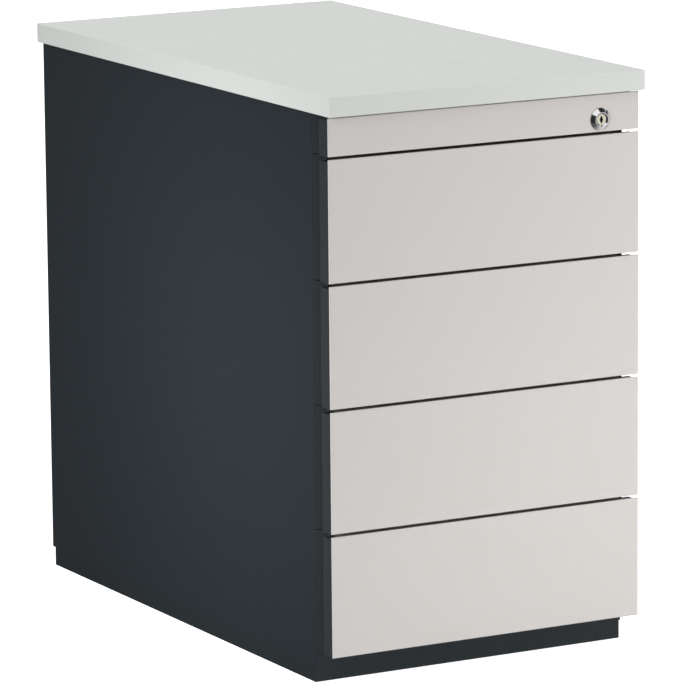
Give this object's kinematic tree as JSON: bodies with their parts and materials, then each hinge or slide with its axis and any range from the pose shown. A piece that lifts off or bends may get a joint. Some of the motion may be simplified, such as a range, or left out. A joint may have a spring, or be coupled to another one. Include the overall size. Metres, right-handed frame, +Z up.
{
  "type": "drawer unit",
  "caption": "Desk-height office pedestal with a coated top, handleless fronts, a locking utility tray and drawers on telescopic rails, on a recessed plinth.",
  "frame": {"origin": "on the floor, under the middle of the work top", "axes": "+Z up, fronts facing -Y, +X to the right of someone who faces the fronts"},
  "size_m": [0.436, 0.792, 0.72],
  "materials": {
    "carcass_paint": "fine powder coat",
    "plinth_paint": "fine powder coat",
    "front_paint": "smooth powder coat",
    "pan_paint": "fine powder coat",
    "box_paint": "smooth powder coat",
    "board_laminate": "matt melamine on particle board",
    "board_edge": "matt",
    "rail_zinc": "zinc plated",
    "fastener_zinc": "zinc plated",
    "tray_plastic": "moulded, fine texture",
    "lock_chrome": "polished",
    "lock_nickel": "satin nickel"
  },
  "bodies": {
    "carcass": {"side_panel_left": "carcass_paint", "side_panel_right": "carcass_paint", "back_panel": "carcass_paint", "base_panel": "carcass_paint", "top_frame_front": "carcass_paint", "top_frame_rear": "carcass_paint", "uprights_left": "carcass_paint", "uprights_right": "carcass_paint", "plinth_front": "plinth_paint", "plinth_rear": "plinth_paint", "plinth_left": "plinth_paint", "plinth_right": "plinth_paint", "foot_bushes": "fastener_zinc", "top_board": "board_laminate", "top_edge_front": "board_edge", "top_edge_rear": "board_edge", "top_edge_left": "board_edge", "top_edge_right": "board_edge", "top_screws": "fastener_zinc", "back_screws": "fastener_zinc", "outer_rails": "rail_zinc", "tray_runners": "rail_zinc", "lock_bar_guides": "tray_plastic"},
    "utility_drawer": {"utility_front": "front_paint", "utility_pan": "pan_paint", "utility_tray": "tray_plastic", "utility_screws": "fastener_zinc", "lock_housing": "lock_chrome", "lock_nut": "fastener_zinc"},
    "lock_core": {"lock_core": "lock_nickel", "lock_cam": "fastener_zinc"},
    "lock_bar": {"lock_bar": "fastener_zinc"},
    "drawer_1": {"drawer_1_front": "front_paint", "drawer_1_pan": "pan_paint", "drawer_1_box": "box_paint", "drawer_1_inner_rails": "rail_zinc", "drawer_1_screws": "fastener_zinc"},
    "rails_1": {"drawer_1_middle_rails": "rail_zinc"},
    "drawer_2": {"drawer_2_front": "front_paint", "drawer_2_pan": "pan_paint", "drawer_2_box": "box_paint", "drawer_2_inner_rails": "rail_zinc", "drawer_2_screws": "fastener_zinc"},
    "rails_2": {"drawer_2_middle_rails": "rail_zinc"},
    "drawer_3": {"drawer_3_front": "front_paint", "drawer_3_pan": "pan_paint", "drawer_3_box": "box_paint", "drawer_3_inner_rails": "rail_zinc", "drawer_3_screws": "fastener_zinc"},
    "rails_3": {"drawer_3_middle_rails": "rail_zinc"},
    "drawer_4": {"drawer_4_front": "front_paint", "drawer_4_pan": "pan_paint", "drawer_4_box": "box_paint", "drawer_4_inner_rails": "rail_zinc", "drawer_4_screws": "fastener_zinc"},
    "rails_4": {"drawer_4_middle_rails": "rail_zinc"},
    "foot_front_left": {"levelling_screw_front_left": "fastener_zinc"},
    "foot_front_right": {"levelling_screw_front_right": "fastener_zinc"},
    "foot_rear_left": {"levelling_screw_rear_left": "fastener_zinc"},
    "foot_rear_right": {"levelling_screw_rear_right": "fastener_zinc"}
  },
  "joints": [
    {"name": "utility_slide", "type": "slide", "parent": "carcass", "child": "utility_drawer", "axis": [0, -1, 0], "range_m": [0, 0.3]},
    {"name": "lock_turn", "type": "hinge", "parent": "utility_drawer", "child": "lock_core", "pos_m": [0.16, -0.387, 0.6625], "axis": [0, -1, 0], "range_deg": [0, 90]},
    {"name": "lock_bar_lift", "type": "slide", "parent": "carcass", "child": "lock_bar", "axis": [0, 0, 1], "range_m": [0, 0.0092]},
    {"name": "drawer_1_slide", "type": "slide", "parent": "carcass", "child": "drawer_1", "axis": [0, -1, 0], "range_m": [0, 0.55]},
    {"name": "rails_1_slide", "type": "slide", "parent": "carcass", "child": "rails_1", "axis": [0, -1, 0], "range_m": [0, 0.275]},
    {"name": "drawer_2_slide", "type": "slide", "parent": "carcass", "child": "drawer_2", "axis": [0, -1, 0], "range_m": [0, 0.55]},
    {"name": "rails_2_slide", "type": "slide", "parent": "carcass", "child": "rails_2", "axis": [0, -1, 0], "range_m": [0, 0.275]},
    {"name": "drawer_3_slide", "type": "slide", "parent": "carcass", "child": "drawer_3", "axis": [0, -1, 0], "range_m": [0, 0.55]},
    {"name": "rails_3_slide", "type": "slide", "parent": "carcass", "child": "rails_3", "axis": [0, -1, 0], "range_m": [0, 0.275]},
    {"name": "drawer_4_slide", "type": "slide", "parent": "carcass", "child": "drawer_4", "axis": [0, -1, 0], "range_m": [0, 0.55]},
    {"name": "rails_4_slide", "type": "slide", "parent": "carcass", "child": "rails_4", "axis": [0, -1, 0], "range_m": [0, 0.275]},
    {"name": "foot_front_left_screw", "type": "slide", "parent": "carcass", "child": "foot_front_left", "axis": [0, 0, -1], "range_m": [0, 0.008]},
    {"name": "foot_front_right_screw", "type": "slide", "parent": "carcass", "child": "foot_front_right", "axis": [0, 0, -1], "range_m": [0, 0.008]},
    {"name": "foot_rear_left_screw", "type": "slide", "parent": "carcass", "child": "foot_rear_left", "axis": [0, 0, -1], "range_m": [0, 0.008]},
    {"name": "foot_rear_right_screw", "type": "slide", "parent": "carcass", "child": "foot_rear_right", "axis": [0, 0, -1], "range_m": [0, 0.008]}
  ],
  "couplings": [
    {"joint": "lock_turn", "follows": "lock_bar_lift", "rad_per_m": 170.7},
    {"joint": "rails_1_slide", "follows": "drawer_1_slide", "ratio": 0.5},
    {"joint": "rails_2_slide", "follows": "drawer_2_slide", "ratio": 0.5},
    {"joint": "rails_3_slide", "follows": "drawer_3_slide", "ratio": 0.5},
    {"joint": "rails_4_slide", "follows": "drawer_4_slide", "ratio": 0.5}
  ]
}
